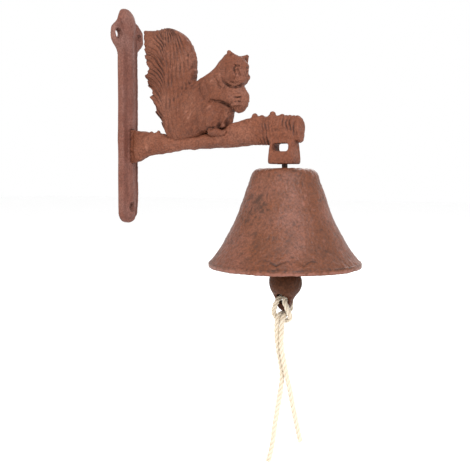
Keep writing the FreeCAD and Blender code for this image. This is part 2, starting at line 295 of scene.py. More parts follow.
def surface_nets(values, low, cell):
    """Vertices and quads of the surface where the sampled field is 0."""
    inside = values < 0
    size = np.array(values.shape)
    count = sum(inside[i:size[0] - 1 + i, j:size[1] - 1 + j, k:size[2] - 1 + k].astype(np.int8)
                for i, j, k in CUBE_CORNERS)
    cells = np.argwhere((count > 0) & (count < len(CUBE_CORNERS)))
    at = {tuple(c): values[tuple((cells + c).T)] for c in CUBE_CORNERS}
    total = np.zeros((len(cells), 3))
    hits = np.zeros(len(cells))
    for axis in range(3):
        for c in CUBE_CORNERS[CUBE_CORNERS[:, axis] == 0]:
            d = c.copy()
            d[axis] = 1
            a, b = at[tuple(c)], at[tuple(d)]
            cut = (a < 0) != (b < 0)
            t = np.where(cut, a / np.where(cut, a - b, 1), 0)
            total[cut] += c
            total[cut, axis] += t[cut]
            hits += cut
    verts = low + (cells + total / hits[:, None]) * cell
    number = np.full(size - 1, -1, dtype=np.int64)
    number[tuple(cells.T)] = np.arange(len(cells))
    quads = []
    for axis in range(3):
        a = inside.take(range(size[axis] - 1), axis)
        b = inside.take(range(1, size[axis]), axis)
        u, v = (axis + 1) % 3, (axis + 2) % 3
        edges = np.argwhere(a != b)
        edges = edges[(edges[:, u] > 0) & (edges[:, v] > 0)]
        ring = []
        for du, dv in ((-1, -1), (0, -1), (0, 0), (-1, 0)):
            at_cell = edges.copy()
            at_cell[:, u] += du
            at_cell[:, v] += dv
            ring.append(number[tuple(at_cell.T)])
        ring = np.stack(ring, axis=1)
        flip = ~a[tuple(edges.T)]
        ring[flip] = ring[flip][:, ::-1]
        quads.append(ring)
    return verts.astype(np.float32), np.concatenate(quads)


def gradient(field, p):
    out = np.empty_like(p)
    for axis in range(3):
        shift = np.zeros(3, dtype=np.float32)
        shift[axis] = GRADIENT_REACH
        out[:, axis] = (in_chunks(field, p + shift) - in_chunks(field, p - shift)) / (2 * GRADIENT_REACH)
    return out


def cavity(field, verts, normals, steepness, reach):
    """0 on open surfaces, towards 1 in hollows narrower than the reach and below 0 on sharp edges."""
    return np.clip(1 - in_chunks(field, verts + normals * reach) / (reach * steepness), -1, 1)


def polygonised(field, low, high, cell):
    """The field's surface as vertices, quads and how hollow each vertex lies."""
    values, origin = sample(field, low, high, cell)
    verts, quads = surface_nets(values, origin, cell)
    flattest, steepest = STEEPNESS_LIMITS
    for _ in range(NEWTON_STEPS):
        slope = gradient(field, verts)
        length2 = np.maximum((slope ** 2).sum(axis=1), flattest ** 2)
        move = -(in_chunks(field, verts) / length2)[:, None] * slope
        far = np.linalg.norm(move, axis=1, keepdims=True)
        verts = verts + move * np.minimum(1, LONGEST_STEP * cell / np.maximum(far, TINY))
    slope = gradient(field, verts)
    steepness = np.clip(np.linalg.norm(slope, axis=1), flattest, steepest)
    normals = slope / steepness[:, None]
    hollow = sum(cavity(field, verts, normals, steepness, reach) for reach in HOLLOW_REACHES)
    return verts, quads, hollow / len(HOLLOW_REACHES)


def sheet_quads(rows, columns, round_rows=True):
    """The quads of a net of vertices kept row by row; its columns close on themselves."""
    i = np.arange(rows if round_rows else rows - 1)[:, None]
    j = np.arange(columns)[None, :]
    i2, j2 = (i + 1) % rows, (j + 1) % columns
    corners = (i * columns + j, i2 * columns + j, i2 * columns + j2, i * columns + j2)
    return np.stack(np.broadcast_arrays(*corners), axis=-1).reshape(-1, 4)


def in_scene(name, data):
    made = bpy.data.objects.new(name, data)
    bpy.context.scene.collection.objects.link(made)
    return made


def mesh_piece(name, verts, faces, material, body, node, hollow):
    """A smooth-shaded mesh object from millimetres, riding on its body."""
    mesh = bpy.data.meshes.new(name)
    verts = np.ascontiguousarray(verts, dtype=np.float32) * MM
    faces = np.ascontiguousarray(faces, dtype=np.int32)
    mesh.vertices.add(len(verts))
    mesh.vertices.foreach_set("co", verts.ravel())
    mesh.loops.add(faces.size)
    mesh.loops.foreach_set("vertex_index", faces.ravel())
    mesh.polygons.add(len(faces))
    mesh.polygons.foreach_set("loop_start", np.arange(len(faces), dtype=np.int32) * faces.shape[1])
    mesh.update(calc_edges=True)
    mesh.validate()
    mesh.polygons.foreach_set("use_smooth", np.ones(len(mesh.polygons), dtype=bool))
    # the hollow value, from which the materials paint shade, and on the bell also its stain and speckle
    layer = mesh.attributes.new("hollow", "FLOAT", "POINT")
    layer.data.foreach_set("value", np.ascontiguousarray(hollow, dtype=np.float32))
    mesh.materials.append(material)
    piece = in_scene(name, mesh)
    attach(piece, body)
    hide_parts(node)
    return piece


def cast_piece(name, field, low, high, cell, material, body, node):
    """A piece made from a field inside a box, with one vertex in each cell that its surface crosses."""
    verts, quads, hollow = polygonised(field, low, high, cell)
    mesh_piece(name, verts, quads, material, body, node, hollow)


# ------------ materials


def linear(red, green, blue):
    """An sRGB colour from 0 to 255 as linear RGBA."""
    def one(c):
        c /= 255
        return c / 12.92 if c <= 0.04045 else ((c + 0.055) / 1.055) ** 2.4
    return (one(red), one(green), one(blue), 1.0)


class Nodes:
    """A new material's node tree, with short ways to add and link nodes."""

    def __init__(self, name):
        self.material = bpy.data.materials.new(name)
        self.material.use_nodes = True
        self.tree = self.material.node_tree
        self.shader = self.tree.nodes["Principled BSDF"]
        self.place = self.add("ShaderNodeTexCoord").outputs["Object"]
        self.hollow = self.add("ShaderNodeAttribute", attribute_name="hollow").outputs["Fac"]

    def feed(self, node, inputs):
        """Set each input to a number or a colour, or link it to another node's output."""
        for key, value in inputs.items():
            if isinstance(value, bpy.types.NodeSocket):
                self.tree.links.new(value, node.inputs[key])
            else:
                node.inputs[key].default_value = value

    def add(self, kind, inputs=None, **settings):
        node = self.tree.nodes.new(kind)
        for key, value in settings.items():
            setattr(node, key, value)
        self.feed(node, inputs or {})
        return node

    def noise(self, scale, detail=4.0, rough=0.55, warp=0.0):
        inputs = {"Vector": self.place, "Scale": scale, "Detail": detail, "Roughness": rough,
                  "Distortion": warp}
        return self.add("ShaderNodeTexNoise", inputs).outputs["Fac"]

    def span(self, value, low, high, to_low=0.0, to_high=1.0):
        inputs = {"Value": value, "From Min": low, "From Max": high, "To Min": to_low, "To Max": to_high}
        return self.add("ShaderNodeMapRange", inputs, interpolation_type="SMOOTHSTEP").outputs["Result"]

    def tint(self, mask, strength, colour, under):
        """One colour over another, as far as the mask and the strength say."""
        factor = self.add("ShaderNodeMath", {0: mask, 1: strength}, operation="MULTIPLY").outputs["Value"]
        inputs = {"Factor": factor, "A": under, "B": colour}
        return self.add("ShaderNodeMix", inputs, data_type="RGBA").outputs["Result"]

    def bump(self, height, strength, distance, **under):
        inputs = {"Height": height, "Strength": strength, "Distance": distance, **under}
        return self.add("ShaderNodeBump", inputs).outputs["Normal"]


def rusty_iron(name, main, dark, light, rough=(0.55, 0.8), specular=0.3):
    """Cast iron under an even coat of fine rust, with painted shade in its hollows and paler on its sharp
    edges.
    """
    m = Nodes(name)
    patches = m.span(m.noise(95, 5, 0.6, 0.6), 0.40, 0.66)
    streaks = m.span(m.noise(34, 3, 0.5, 0.4), 0.38, 0.66)
    grain = m.span(m.noise(760, 3, 0.65), 0.36, 0.66)
    # painted shade: darker where the hollow value is high, in hollows, creases and recesses; on the bell the
    # value also holds its stain and speckle
    deep = m.span(m.hollow, 0.08, 0.7)
    # paler where the hollow value is below 0: on sharp edges, and on the bell in its speckle and in the
    # painted highlight on the lip
    pale_edges = m.span(m.hollow, -0.06, -0.5)
    layers = ((patches, 0.32, dark, 1), (streaks, 0.4, light, 1), (grain, 0.6, dark, 0.8),
              (deep, 0.85, dark, 0.68), (pale_edges, 0.6, light, 1))
    colour = linear(*main)
    for mask, strength, tone, shade in layers:
        colour = m.tint(mask, strength, linear(*[c * shade for c in tone]), colour)
    fine = m.bump(m.noise(1900, 3, 0.7), 0.5, 0.0003)
    m.feed(m.shader, {
        "Base Color": colour,
        "Roughness": m.span(m.noise(300, 4), 0.3, 0.7, *rough),
        "Specular IOR Level": specular,
        "Normal": m.bump(m.noise(700, 4, 0.62), 0.75, 0.0007, Normal=fine),
    })
    return m.material


def cotton(name):
    """Cream cotton, with painted shade between its strands."""
    m = Nodes(name)
    tone = m.span(m.noise(260, 4, 0.6), 0.3, 0.7)
    colour = m.tint(tone, 0.5, linear(198, 183, 159), linear(209, 197, 177))
    m.feed(m.shader, {
        # painted shade between the strands, from the hollow value
        "Base Color": m.tint(m.span(m.hollow, 0.0, 1.0), 0.75, linear(168, 134, 98), colour),
        "Roughness": 0.9,
        "Sheen Weight": 0.3,
        "Sheen Roughness": 0.5,
        "Normal": m.bump(m.noise(3200, 2, 0.7), 0.5, 0.0002),
    })
    return m.material


def plain_paint(name, grey, cloud):
    """Matt paint of one grey with a trace of cloudiness in another."""
    m = Nodes(name)
    colour = m.tint(m.span(m.noise(3), 0.3, 0.7), 0.02, (cloud, cloud, cloud, 1.0), (grey, grey, grey, 1.0))
    m.feed(m.shader, {"Base Color": colour, "Roughness": 0.9})
    return m.material


PLATE_IRON = rusty_iron("plate_rust", (113, 69, 56), (90, 48, 37), (138, 105, 96))
BRANCH_IRON = rusty_iron("branch_rust", (115, 65, 43), (86, 44, 28), (140, 92, 73))
SQUIRREL_IRON = rusty_iron("squirrel_rust", (108, 60, 39), (84, 43, 27), (138, 92, 73))
BELL_IRON = rusty_iron("bell_rust", (104, 55, 28), (77, 39, 19), (134, 86, 72), (0.34, 0.46), 0.34)
CLAPPER_IRON = rusty_iron("clapper_rust", (80, 45, 25), (54, 28, 14), (104, 64, 48), (0.45, 0.65), 0.12)
HANGER_STEEL = rusty_iron("hanger_rust", (96, 62, 46), (60, 38, 28), (130, 102, 86), (0.35, 0.6), 0.4)
COTTON = cotton("cotton")


# ------------ wall plate

# half of the plate's outline, as height and half width
PLATE_EDGE = [
    (21.5, 0.0), (20.9, 4.1), (19.1, 6.6), (16.7, 8.0), (14.4, 9.0), (12.0, 10.1), (9.6, 12.4), (7.3, 15.2),
    (4.9, 17.1), (1.5, 17.7), (-2.1, 17.7), (-4.5, 17.0), (-6.9, 15.2), (-9.2, 12.7), (-11.6, 10.6),
    (-14.5, 9.6), (-19.0, 9.5), (-50.0, 9.5), (-90.0, 9.5), (-125.0, 9.5), (-134.0, 9.5), (-139.5, 8.8),
    (-143.6, 5.6),
]
RIB_HEIGHT = PLATE_HIGH[0]
# the rib's half width and the flange's thickness, each at a list of heights
RIB_HALF = ([-16, -8, 0, 5, 9, 25], [6.9, 7.2, 7.8, 9.2, 10.3, 10.3])
FLANGE = ([-143, -128, -14, 4, 12, 20], [4.4, 5.6, 5.6, 4.6, 3.0, 2.2])
NEAR_EAR = 4.2
FAR_EAR = 4.6
EAR_HOLE_Y = 12.3
EAR_HOLE_Z = 0.3
BOTTOM_HOLE_Z = -132.9
HOLE_R = 2.7
# (y, z, x where the hole starts to widen, its radius at the front)
SCREW_HOLES = [
    (-EAR_HOLE_Y, EAR_HOLE_Z, 0.6, 4.0),
    (EAR_HOLE_Y, EAR_HOLE_Z, 0.6, 3.0),
    (0, BOTTOM_HOLE_Z, RIB_HEIGHT - 1.2, 4.0),
]
SINK_DEPTH = 0.8
# the rib ends in a dome above and in a taper below
DOME_FOOT = 8.5
DOME_HEIGHT = 13.0
TAPER_TOP = -136.5
TAPER_HEIGHT = 7.6
SEAT_DEPTH = 0.9
SEAT_LOW = (-9, -97.7)
SEAT_HIGH = (9, -72.3)


def plate_outline():
    right = [(y, z) for z, y in PLATE_EDGE]
    bottom = (0.0, PLATE_LOW[2])
    left = [(-y, z) for y, z in reversed(right[1:])]
    return Outline(right + [bottom] + left)


def make_wall_plate():
    outline = plate_outline()

    def field(p):
        x, y, z = p.T
        edge = outline.distance(y, z)
        half = np.interp(z, *RIB_HALF)
        end = np.maximum(z - DOME_FOOT, 0) / DOME_HEIGHT + np.maximum(TAPER_TOP - z, 0) / TAPER_HEIGHT
        k0 = np.sqrt((x / RIB_HEIGHT) ** 2 + (y / half) ** 2 + end ** 2)
        k1 = np.sqrt((x / RIB_HEIGHT ** 2) ** 2 + (y / half ** 2) ** 2 + (end / 10) ** 2)
        rib = oval_distance(k0, k1)
        crease = 0.8 * bell_curve(np.abs(y) - half - 0.2, 0.55) * step(z, 6, -2) * step(y, -4, 4)
        thick = np.interp(z, *FLANGE)
        ear = step(np.abs(y), 8.5, 11.0) * step(z, 14, 9)
        near = ear * step(y, 0, -1) * step(z, -10, -4)
        far = ear * step(y, 0, 1)
        thick = thick + near * (NEAR_EAR - thick) + far * (FAR_EAR - thick)
        slab = smooth_max(edge, x - thick + crease, 1.6)
        body = np.minimum(slab, smooth_max(rib, edge, 1.0))
        body = body - 0.25 * noise(p, 14, 2.7)
        body = np.maximum(body, -x)
        seat = block(p, (RIB_HEIGHT - SEAT_DEPTH, *SEAT_LOW), (2 * RIB_HEIGHT, *SEAT_HIGH))
        body = smooth_max(body, -seat, 0.3)
        for hole_y, hole_z, start, wide in SCREW_HOLES:
            widening = np.clip((x - start) / SINK_DEPTH, 0, 1)
            hole = np.hypot(y - hole_y, z - hole_z) - HOLE_R - (wide - HOLE_R) * widening
            body = smooth_max(body, -hole, 0.5)
        return body - cast_skin(p, 0.11) * step(x, 0.3, 1.2)

    cast_piece("plate_casting", field, PLATE_LOW - 1.5, PLATE_HIGH + 1.5, 0.5,
               PLATE_IRON, "bracket", "wall_plate")


# ------------ branch

# stations of x, middle height, half height, half thickness
BRANCH_STATIONS = np.array([
    (6.2, -86.6, 13.2, 2.2), (9.2, -86.2, 12.8, 2.5), (11.6, -85.8, 12.2, 4.3), (16.5, -85.2, 10.8, 5.0),
    (22.0, -84.4, 9.2, 5.3), (27.0, -84.1, 8.4, 5.3), (36.0, -84.2, 7.3, 5.3), (45.0, -84.2, 6.2, 5.4),
    (56.0, -84.2, 5.2, 5.5), (68.0, -84.1, 5.0, 5.6), (80.0, -83.0, 5.7, 5.8), (90.0, -81.7, 6.9, 6.0),
    (98.0, -80.0, 8.4, 6.1), (105.0, -78.6, 9.2, 6.2), (115.0, -77.7, 9.8, 6.2), (125.0, -77.4, 10.0, 6.2),
    (136.0, -77.3, 9.6, 6.2), (145.0, -77.7, 9.3, 6.2), (152.5, -78.2, 9.0, 6.1),
])
# thorns and knobs as (foot x, foot z, tip x, tip z, foot radius, tip radius)
THORNS = [
    (24.6, -77.6, 25.3, -75.6, 2.2, 1.0),
    (31.0, -77.6, 32.0, -75.2, 2.6, 1.2),
    (115.4, -69.8, 115.2, -66.9, 4.0, 2.0),
    (119.6, -69.4, 120.6, -68.0, 3.4, 1.6),
    (129.0, -69.2, 129.2, -66.3, 4.6, 2.1),
    (135.6, -69.6, 136.6, -68.2, 3.2, 1.9),
    (141.5, -70.0, 142.6, -69.3, 3.0, 1.9),
    (147.2, -70.8, 148.0, -70.4, 3.4, 2.4),
]
LUG_BOTTOM = -100.8
LUG_HEIGHT = 17.8
LUG_ROUNDING = 1.8
WINDOW_LOW = (BELL_X - 6.9, -20, -92.1)
WINDOW_HIGH = (BELL_X + 5.1, 20, -86.6)
# the rod's ball head sits in a cup in the lug's sill, open above and with a bore for the rod below
HEAD_R = 3.4
ROD_HEAD_Z = -95.5
SEAT_CLEARANCE = 0.1
CUP_R = HEAD_R + SEAT_CLEARANCE
ROD_BORE_R = 2.5


def make_branch():
    def lug_body(p):
        x, y, z = p.T
        rise = (z - LUG_BOTTOM) / LUG_HEIGHT
        half_x = 9.9 - 0.9 * rise - 0.9 * np.exp(-rise * 9)
        half_y = 7.6 - 2.6 * np.clip(rise, 0, 1)
        side = rounded_meet(np.abs(x - BELL_X + 0.4) - half_x, np.abs(y) - half_y, LUG_ROUNDING)
        ends = np.abs(z - LUG_BOTTOM - 10.4) - 10.4
        return smooth_max(side, ends, 0.9)

    def field(p):
        x, y, z = p.T
        middle, high, thick = (np.interp(x, BRANCH_STATIONS[:, 0], BRANCH_STATIONS[:, k]) for k in (1, 2, 3))
        up, across = (z - middle) / high, y / thick
        angle = np.arctan2(y / 5, (z - middle) / 8)
        limb = oval_distance(np.hypot(up, across), np.hypot(up / high, across / thick))
        lumps = 0.6 * noise(p, (9, 6, 6), 1.3) + 0.4 * noise(p, (5, 3, 3), 5.0)
        lumps = lumps + 0.2 * noise(p, (3, 1.6, 1.6), 8.0)
        furrow = noise(np.stack([x / 13, angle * 2.3, 0 * x], axis=1).astype(np.float32), 1.0, 9.2)
        fine = noise(np.stack([x / 7, angle * 5.5, 0 * x], axis=1).astype(np.float32), 1.0, 4.4)
        ridges = 0.7 * (0.4 - np.abs(furrow)) + 0.4 * (0.3 - np.abs(fine))
        outer = step(x, 108, 132)
        wrinkle = 1 - np.abs(np.sin(x * 1.2 + 1.3 * noise(p, 6, 2.0) + 0.1 * z))
        wrinkle = wrinkle * (0.6 + 0.5 * noise(p, 5, 4.9))
        limb = limb - lumps - ridges * (1 - 0.5 * outer) + outer * wrinkle * step(x, 151, 149)
        for fx, fz, tx, tz, ra, rb in THORNS:
            limb = smooth_min(limb, capsule(p, (fx, 0, fz), (tx, 0, tz), ra, rb), 1.8)
        limb = smooth_max(limb, x - BRANCH_END, 2.6)
        limb = smooth_min(limb, lug_body(p), 2.2)
        limb = np.maximum(limb, RIB_HEIGHT - SEAT_DEPTH - x)
        limb = smooth_max(limb, -block(p, WINDOW_LOW, WINDOW_HIGH, 2.0), 0.7)
        axis_r = np.hypot(x - BELL_X, y)
        mouth = np.maximum(axis_r - CUP_R, np.abs(z - ROD_HEAD_Z - 2.5) - 2.5)
        bore = np.maximum(axis_r - ROD_BORE_R, np.abs(z - ROD_HEAD_Z + 3.5) - 4)
        cup = ball(p, (BELL_X, 0, ROD_HEAD_Z), CUP_R)
        limb = np.maximum(limb, -np.minimum(np.minimum(cup, mouth), bore))
        limb = np.maximum(limb, LUG_BOTTOM - z)
        return limb - cast_skin(p, 0.1) * step(axis_r, 3.8, 6)

    cast_piece("branch_casting", field, (BRANCH_START, -10, LUG_BOTTOM - 1.5), (BRANCH_END + 2, 10, -61), 0.5,
               BRANCH_IRON, "bracket", "branch")


# ------------ squirrel

# the tail's outline, as x and z
TAIL_EDGE = [
    (21.6, 2.3), (31.0, 1.5), (41.3, 2.3), (48.4, 0.2), (56.4, -5.0), (62.3, -13.2), (65.2, -23.0),
    (65.6, -31.0), (65.0, -40.0), (68.0, -52.0), (70.0, -66.0), (66.0, -78.0), (54.0, -83.0), (43.0, -80.0),
    (38.8, -73.0), (36.2, -66.8), (31.4, -60.6), (32.2, -57.2), (27.4, -51.8), (26.0, -49.2), (28.2, -44.8),
    (24.4, -40.6), (22.6, -38.2), (23.6, -36.0), (20.6, -33.2), (24.4, -27.4), (21.4, -21.0), (20.7, -12.0),
    (20.4, -4.0), (20.2, 0.8),
]
TAIL_HALF = 5.5
TAIL_ROUNDING = 3.8
HEAD_AT = (101.0, -0.8, -34.2)
# the head looks towards -Y by HEAD_TURN and leans by HEAD_ROLL; its face lines are drawn at FACE_TURN
HEAD_TURN = math.radians(27.0)
HEAD_ROLL = math.radians(6.0)
FACE_TURN = math.radians(56.5)


def head_frame(p):
    """p from the middle of the head: forward, sideways towards +Y, and up."""
    q = p - f32(HEAD_AT)
    ahead = q[:, 0] * math.cos(HEAD_TURN) - q[:, 1] * math.sin(HEAD_TURN)
    side = q[:, 0] * math.sin(HEAD_TURN) + q[:, 1] * math.cos(HEAD_TURN)
    across = side * math.cos(HEAD_ROLL) - q[:, 2] * math.sin(HEAD_ROLL)
    up = q[:, 2] * math.cos(HEAD_ROLL) + side * math.sin(HEAD_ROLL)
    return np.stack([ahead, across, up], axis=1).astype(np.float32)


def mirrored(q):
    """The same point on the side where the sideways coordinate is negative."""
    return np.stack([q[:, 0], -np.abs(q[:, 1]), q[:, 2]], axis=1)


def carve(field, p, points, depth, width):
    """A soft groove along a path of points that lie near the surface."""
    line = np.full(len(p), 1e3)
    for a, b in zip(points, points[1:]):
        line = np.minimum(line, capsule(p, a, b, 0, 0))
    return field + depth * bell_curve(line, width)


# creases of the face, each as its points across and up, its depth and its width
FACE_LINES = [
    ([(-2.1, 2.3), (1.8, 1.7)], 0.7, 0.8),
    ([(-0.9, 1.6), (-2.1, -0.8), (-0.3, -4.2)], 0.85, 0.7),
    ([(0.9, -0.8), (2.7, -4.8)], 0.8, 0.7),
    ([(-8.6, 3.4), (-8.2, -3.0)], 0.7, 0.9),
    ([(-3.4, -9.6), (-0.4, -10.6), (2.4, -9.6)], 0.8, 0.9),
]


def head_field(p):
    q = head_frame(p)
    m = mirrored(q)
    skull = ellipsoid(q, (-0.6, 0, 0.8), (9.2, 8.6, 9.8))
    muzzle = ellipsoid(q, (4.0, 0, -5.4), (5.6, 5.0, 6.0))
    cheek = ellipsoid(m, (0.6, -4.9, -4.8), (5.4, 4.3, 5.8))
    nose = ellipsoid(q, (7.1, 0, -7.0), (1.9, 2.1, 1.7))
    chin = ellipsoid(q, (3.2, 0, -9.4), (4.8, 4.0, 2.9))
    brow = capsule(m, (6.9, -2.8, 3.2), (4.2, -5.8, 3.6), 1.5, 1.3)
    ear = capsule(m, (-1.4, -5.0, 6.6), (0.0, -7.7, 11.7), 4.6, 1.4)
    ear = smooth_min(ear, capsule(m, (-0.4, -2.6, 9.2), (0.0, -7.4, 11.6), 1.9, 1.2), 0.6)
    ear = smooth_max(ear, np.abs(m[:, 0] + 0.6 - 0.1 * m[:, 2]) - 2.6, 1.4)
    bowl = capsule(m, (2.6, -6.1, 8.4), (2.6, -7.4, 10.8), 2.3, 0.9)
    ear = smooth_max(ear, -bowl, 0.7)
    eye = ellipsoid(m, (6.3, -4.4, 0.2), (1.5, 1.7, 1.5))
    pouch = ellipsoid(m, (5.4, -5.6, -4.4), (2.6, 2.4, 2.6))
    head = joined(skull, (muzzle, 2.4), (cheek, 1.2), (nose, 1.1), (chin, 0.9), (brow, 1.6), (ear, 1.6),
                  (eye, 0.8), (pouch, 1.2))
    for points, depth, width in FACE_LINES:
        head = face_line(head, m, points, depth, width)
    nostril = [(10.6, -0.9, -8.6), (10.0, -1.8, -8.9)]
    return carve(head, q, nostril, 0.9, 0.6)


def face_line(head, m, points, depth, width):
    """A soft groove on both sides of the face, seen three quarters on: points run across and up."""
    across = m[:, 0] * math.cos(FACE_TURN) + m[:, 1] * math.sin(FACE_TURN)
    toward = m[:, 0] * math.sin(FACE_TURN) - m[:, 1] * math.cos(FACE_TURN)
    flat = np.stack([across, np.zeros_like(across), m[:, 2]], axis=1)
    cut = carve(0.0, flat, [(u, 0, v) for u, v in points], depth, width)
    return head + cut * step(toward, 0, 3)


def grooves(field, p, folds):
    """Soft grooves on both sides of the figure; the middle of its thickness stays whole."""
    flat = p * f32([1, 0, 1])
    for points, depth, width in folds:
        cut = carve(0.0, flat, [(x, 0, z) for x, z in points], depth, width)
        field = field + cut * step(np.abs(p[:, 1]), 1.5, 4.0)
    return field


def body_field(p):
    """Neck, trunk and legs."""
    m = mirrored(p)
    torso = ellipsoid(p, (73.5, 0, -58.0), (23.5, 9.2, 20.5), 14)
    chest = ellipsoid(p, (88.0, 0, -52.0), (10.8, 8.8, 13.5))
    throat = ellipsoid(p, (99.0, -0.4, -49.0), (8.3, 7.2, 7.7))
    nape = capsule(p, (96.0, -1.5, -27.8), (86.8, -0.5, -37.6), 6.3, 7.3)
    shoulders = capsule(p, (86.8, -0.5, -37.6), (79.0, 0, -44.2), 7.3, 9.4)
    neck_side = ellipsoid(m, (93.0, -4.2, -40.5), (7.5, 5.0, 7.5))
    neck = joined(nape, (shoulders, 1), (neck_side, 2))
    rump = ellipsoid(p, (58.0, 0, -70.5), (17.0, 8.6, 12.0), -8)
    belly = ellipsoid(p, (87.6, 0, -64.5), (7.9, 6.6, 12.2))
    haunch = ellipsoid(m, (78.8, -4.4, -66.4), (12.6, 6.0, 11.2), -12)
    shin = capsule(m, (92.0, -3.4, -66.5), (91.0, -3.8, -72.5), 3.3, 3.2)
    foot = capsule(m, (82.5, -5.8, -77.2), (92.6, -6.0, -78.0), 3.1, 2.8)
    return joined(torso, (chest, 5), (neck, 2.5), (throat, 2), (rump, 5), (belly, 1.5), (haunch, 0.9),
                  (shin, 1.4), (foot, 0.7))


FINGERS = 3
FINGER_Z = -52.4
FINGER_SPACING = 3.0


def arm_field(p):
    """Both arms and the nut between the hands."""
    m = mirrored(p)
    upper = capsule(m, (86.0, -4.4, -50.0), (97.0, -4.9, -53.2), 5.4, 4.9)
    fore = capsule(m, (97.0, -4.9, -52.6), (103.4, -3.6, -56.6), 4.9, 3.8)
    nut = ellipsoid(p, (104.0, -0.4, -55.4), (6.1, 5.9, 8.9), -12)
    arm = joined(upper, (fore, 1.5), (nut, 1.0))
    for i in range(FINGERS):
        z = FINGER_Z - FINGER_SPACING * i
        finger = capsule(m, (101.4, -6.9, z - 0.3), (106.0 - 0.35 * i, -5.7, z), 1.5, 1.3)
        arm = smooth_min(arm, finger, 0.35)
        arm = carve(arm, m, [(103.2, -7.4, z - 1.6), (107.2 - 0.35 * i, -5.8, z - 1.4)], 0.45, 0.55)
    return arm


def locks(index, p, warp=0.3):
    """Rounded locks of fur, one for each whole step of the index: 0 on the crests, 1 in the grooves."""
    phase = 2 * math.pi * (index + warp * noise(p, 7.0, 8.8))
    return (0.5 - 0.5 * np.cos(phase)) ** 1.3


def tail_relief(p):
    """How deep the fur's grooves are cut into the tail, in millimetres."""
    x, y, z = p.T
    spine = 43.5 + 4.0 * np.sin((z + 30) / 26) - 0.1 * (z + 40)
    right = np.interp(z, [-80, -60, -40, -31, -23, -13, -5, 0, 3], [72, 68, 65, 65.6, 65, 62, 56, 49, 45])
    u = np.clip((x - spine) / np.maximum(right - spine, 2), -0.2, 1.4)
    fan = 0.85 * locks(u * 6.0 + 0.03 * z, p) + 0.3 * locks(u * 13.0 + 3.1, p, 0.6)
    reach = spine - x
    along = z - 15.0 * (1 - np.exp(-np.maximum(reach, -3) / 5.5)) - 0.3 * reach
    swept = 1.15 * locks(along / 4.7 + 0.2, p, 0.5) + 0.45 * locks(along / 2.1, p, 0.7)
    left = step(reach, -1.0, 5.0)
    amount = 0.85 + 0.45 * noise(p, 9.0, 6.1)
    smooth_patch = 1 - 0.55 * step(z, -14, -5) * step(x, 38, 30)
    return (fan * (1 - left) + swept * left) * amount * smooth_patch


def fur_strokes(p, degrees, across=1.5, along=6.0):
    """Short dabs of fur that lie along one direction of the xz plane."""
    q = turned(p, (0, 0, 0), degrees)
    return noise(q, (along, 3.0, across), 12.3)


# creases of the body, each as its points in x and z, its depth and its width
CHEST_FOLDS = [(points, 0.85, 1.1) for points in (
    [(86.0, -38.6), (88.7, -42.0), (91.4, -46.3)],
    [(79.2, -42.6), (80.9, -46.3), (83.6, -50.6)],
    [(73.4, -44.2), (74.6, -49.0), (77.6, -53.6)],
    [(84.6, -45.0), (86.8, -48.4)],
)]
# under the arm, round the haunch, above the foot and below the shin
LIMB_FOLDS = [
    ([(84.6, -55.0), (93.0, -56.6), (96.4, -58.6), (99.1, -61.2), (102.0, -64.4)], 1.8, 1.1),
    ([(82.3, -56.1), (88.5, -57.8), (91.6, -61.4), (91.8, -68.0), (89.0, -73.0)], 1.1, 1.2),
    ([(90.6, -66.5), (90.2, -70.5), (86.5, -74.0), (81.0, -74.8)], 0.5, 1.1),
    ([(90.6, -72.8), (96.5, -70.4)], 0.6, 1.0),
]
JAW_FOLD = ([(93.6, -40.5), (95.4, -43.2), (98.6, -45.6), (103.1, -46.6), (107.4, -44.8)], 1.1, 0.9)
SQUIRREL_FOOT_Z = -83.0


def make_squirrel():
    outline = Outline(TAIL_EDGE)

    def field(p):
        x, y, z = p.T
        edge = outline.distance(x, z)
        half = TAIL_HALF + 0.9 * step(z, -30, -70) + 0.6 * step(-edge, 0, 9)
        tail = rounded_meet(edge, np.abs(y) - half, TAIL_ROUNDING)
        smooth_rim = step(x, 46, 52) * step(edge, -2.6, -0.8)
        tail = tail + tail_relief(p) * step(np.abs(y), 0.5, 3.0) * (1 - smooth_rim)
        ring = np.hypot((x - 75) / 24.5, (z + 58) / 21.5)
        arcs = locks(ring * 8.0, p, 0.4) * step(ring, 0.66, 0.84) * step(ring, 1.16, 1.02)
        arcs = arcs * step(x, 72, 60) * step(z, -72, -58)
        figure = smooth_min(tail, body_field(p) + 0.1, 2.6) + 0.45 * arcs
        folds = 1.1 * noise(turned(p, (0, 0, 0), 82), (13, 6, 3.6), 3.4) * step(z, -50, -60)
        strokes = folds + 0.55 * fur_strokes(p, 58) + 0.25 * fur_strokes(p, 44, 0.9, 3.2)
        figure = figure - strokes * step(x, 54, 64) * step(z, -82, -77)
        figure = grooves(figure, p, CHEST_FOLDS)
        figure = smooth_min(figure, arm_field(p) - 0.35 * fur_strokes(p, -32, 1.2, 4.5), 1.4)
        figure = grooves(figure, p, LIMB_FOLDS)
        figure = smooth_min(figure, head_field(p) - 0.2 * fur_strokes(p, 70, 1.2, 3.5), 2.0)
        figure = grooves(figure, p, [JAW_FOLD])
        figure = smooth_max(figure, SQUIRREL_FOOT_Z - z, 1.0)
        return figure - cast_skin(p, 0.09)

    cast_piece("squirrel_casting", field, (17, -12.5, -85), (115, 12.5, 5), 0.46,
               SQUIRREL_IRON, "bracket", "squirrel")


# ------------ bell

# (radius, height above the rim), from the lip to the edge of the flat crown
BELL_OUTSIDE = [
    (52.5, 0.4), (52.45, 2.9), (51.2, 4.1), (47.9, 7.8), (43.6, 13.6), (39.9, 20.2), (36.5, 26.4),
    (33.6, 32.5), (31.0, 39.0), (28.9, 45.2), (26.7, 51.6), (24.4, 57.8), (22.9, 62.6), (20.4, 66.0),
    (16.8, 67.1), (12.0, 67.3),
]
BELL_WALL = 3.4
CROWN_THICKNESS = 4.2
BELL_BORE_R = 2.1
TURNS = 420
